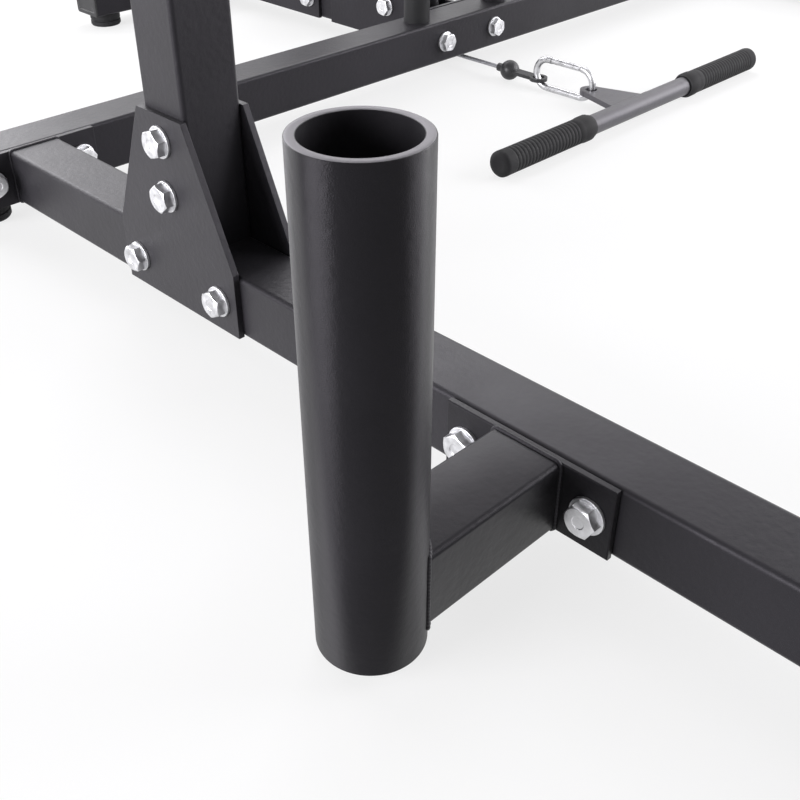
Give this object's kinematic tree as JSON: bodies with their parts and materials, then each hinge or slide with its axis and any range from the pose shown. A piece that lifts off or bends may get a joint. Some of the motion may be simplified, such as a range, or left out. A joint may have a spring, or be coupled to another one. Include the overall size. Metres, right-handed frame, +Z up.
{
  "type": "power rack",
  "caption": "Black square-tube power rack with a plate-loaded lat and low-row tower, vertical barbell holders beside the base, gusseted uprights, bar hooks and pinned safety pipes",
  "frame": {"origin": "on the floor under the middle of the bounding box", "axes": "+X to the right of someone facing the rack's rear tower, -Y towards the open front, +Z up"},
  "size_m": [1.5924, 1.811, 2.165],
  "materials": {
    "frame_black": "satin black powder coat",
    "plate_black": "satin black powder coat on plates",
    "carriage_black": "satin black powder coat",
    "bar_grey": "grey hammered coat",
    "zinc_bolts": "bright zinc plating",
    "zinc_hooks": "bright zinc plating",
    "zinc_pins": "bright zinc plating",
    "chrome_rods": "hard chrome, polished",
    "steel_cable": "clear grey nylon jacket over steel rope",
    "grip_rubber": "ribbed black grip rubber",
    "black_rubber": "plain black rubber",
    "black_plastic": "moulded black plastic",
    "stopper_plastic": "moulded black plastic",
    "pulley_nylon": "dark grey moulded nylon",
    "bush_nylon": "grey moulded nylon"
  },
  "bodies": {
    "rack_frame": {"left_side_rail": "frame_black", "right_side_rail": "frame_black", "rear_cross_rail": "frame_black", "left_front_upright": "frame_black", "right_front_upright": "frame_black", "left_rear_upright": "frame_black", "right_rear_upright": "frame_black", "left_top_beam": "frame_black", "right_top_beam": "frame_black", "rear_top_beam": "frame_black", "pull_up_bar": "frame_black", "left_gusset_plates": "plate_black", "right_gusset_plates": "plate_black", "tower_gusset_plates": "plate_black", "left_bar_holder": "frame_black", "right_bar_holder": "frame_black", "tower_base": "frame_black", "tower_foot": "frame_black", "tower_post": "frame_black", "tower_beam": "frame_black", "left_guide_rod": "chrome_rods", "right_guide_rod": "chrome_rods", "rod_bumpers": "black_rubber", "gusset_bolts": "zinc_bolts", "gusset_nuts": "zinc_bolts", "plate_bolts": "zinc_bolts", "plate_nuts": "zinc_bolts", "pulley_axles": "zinc_bolts", "end_caps": "black_plastic", "rubber_feet": "black_rubber", "safety_pipes": "frame_black", "cable_top": "steel_cable", "cable_front_fall": "steel_cable", "cable_rear_fall": "steel_cable", "cable_return": "steel_cable"},
    "carriage": {"carriage_frame": "carriage_black", "carriage_bushes": "bush_nylon", "carriage_axle": "zinc_bolts", "cable_loop": "steel_cable"},
    "carriage_wheel": {"carriage_pulley": "pulley_nylon"},
    "front_wheel": {"front_pulley": "pulley_nylon"},
    "rear_wheel": {"rear_pulley": "pulley_nylon"},
    "return_wheel": {"return_pulley": "pulley_nylon"},
    "low_wheel": {"low_pulley": "pulley_nylon"},
    "lat_handle": {"lat_bar": "frame_black", "lat_grips": "grip_rubber", "lat_stopper": "stopper_plastic", "lat_snap_hook": "zinc_hooks", "cable_lat_lead": "steel_cable"},
    "lat_gate": {"lat_snap_gate": "zinc_hooks"},
    "row_handle": {"row_bar": "bar_grey", "row_grips": "grip_rubber", "row_stopper": "stopper_plastic", "row_snap_hook": "zinc_hooks", "cable_row_lead": "steel_cable"},
    "row_gate": {"row_snap_gate": "zinc_hooks"},
    "left_hook": {"left_bar_hook": "frame_black"},
    "right_hook": {"right_bar_hook": "frame_black"},
    "left_pin": {"left_safety_pin": "zinc_pins"},
    "right_pin": {"right_safety_pin": "zinc_pins"}
  },
  "joints": [
    {"name": "carriage_lift", "type": "slide", "parent": "rack_frame", "child": "carriage", "axis": [0, 0, 1], "range_m": [0, 0.6], "deforming": ["cable_front_fall", "cable_rear_fall"]},
    {"name": "lat_pull", "type": "slide", "parent": "rack_frame", "child": "lat_handle", "axis": [0, 0, -1], "range_m": [0, 1.2], "deforming": ["cable_lat_lead"]},
    {"name": "row_pull", "type": "slide", "parent": "rack_frame", "child": "row_handle", "axis": [0, -1, 0], "range_m": [0, 0.6], "deforming": ["cable_row_lead"]},
    {"name": "front_pulley_spin", "type": "hinge", "parent": "rack_frame", "child": "front_wheel", "pos_m": [0, -0.0525, 2.049], "axis": [1, 0, 0], "range_deg": [-5, 1440]},
    {"name": "rear_pulley_spin", "type": "hinge", "parent": "rack_frame", "child": "rear_wheel", "pos_m": [0, 0.2945, 2.049], "axis": [1, 0, 0], "range_deg": [-5, 1440]},
    {"name": "carriage_pulley_spin", "type": "hinge", "parent": "carriage", "child": "carriage_wheel", "pos_m": [0, 0.3905, 0.4], "axis": [1, 0, 0], "range_deg": [-720, 5]},
    {"name": "return_pulley_spin", "type": "hinge", "parent": "rack_frame", "child": "return_wheel", "pos_m": [0, 0.4865, 2.049], "axis": [1, 0, 0], "range_deg": [-720, 5]},
    {"name": "low_pulley_spin", "type": "hinge", "parent": "rack_frame", "child": "low_wheel", "pos_m": [0, 0.4865, 0.06], "axis": [1, 0, 0], "range_deg": [-720, 5]},
    {"name": "left_hook_pull", "type": "slide", "parent": "rack_frame", "child": "left_hook", "axis": [0, -1, 0], "range_m": [0, 0.05]},
    {"name": "right_hook_pull", "type": "slide", "parent": "rack_frame", "child": "right_hook", "axis": [0, -1, 0], "range_m": [0, 0.05]},
    {"name": "left_pin_slide", "type": "slide", "parent": "rack_frame", "child": "left_pin", "axis": [0, -1, 0], "range_m": [0, 0.87]},
    {"name": "right_pin_slide", "type": "slide", "parent": "rack_frame", "child": "right_pin", "axis": [0, -1, 0], "range_m": [0, 0.87]},
    {"name": "lat_gate_swing", "type": "hinge", "parent": "lat_handle", "child": "lat_gate", "pos_m": [0, -0.0835, 1.87146], "axis": [1, 0, 0], "range_deg": [0, 25], "stiffness_Nm_per_rad": 0.05, "springref_deg": -20.05},
    {"name": "row_gate_swing", "type": "hinge", "parent": "row_handle", "child": "row_gate", "pos_m": [0, 0.19107, 0.038], "axis": [1, 0, 0], "range_deg": [-25, 0], "stiffness_Nm_per_rad": 0.05, "springref_deg": 20.05}
  ],
  "couplings": [
    {"joint": "lat_pull", "follows": "carriage_lift", "ratio": 2},
    {"joint": "front_pulley_spin", "follows": "carriage_lift", "rad_per_m": 41.667},
    {"joint": "rear_pulley_spin", "follows": "carriage_lift", "rad_per_m": 41.667},
    {"joint": "carriage_pulley_spin", "follows": "carriage_lift", "rad_per_m": -20.833},
    {"joint": "return_pulley_spin", "follows": "row_pull", "rad_per_m": -20.833},
    {"joint": "low_pulley_spin", "follows": "row_pull", "rad_per_m": -20.833}
  ]
}
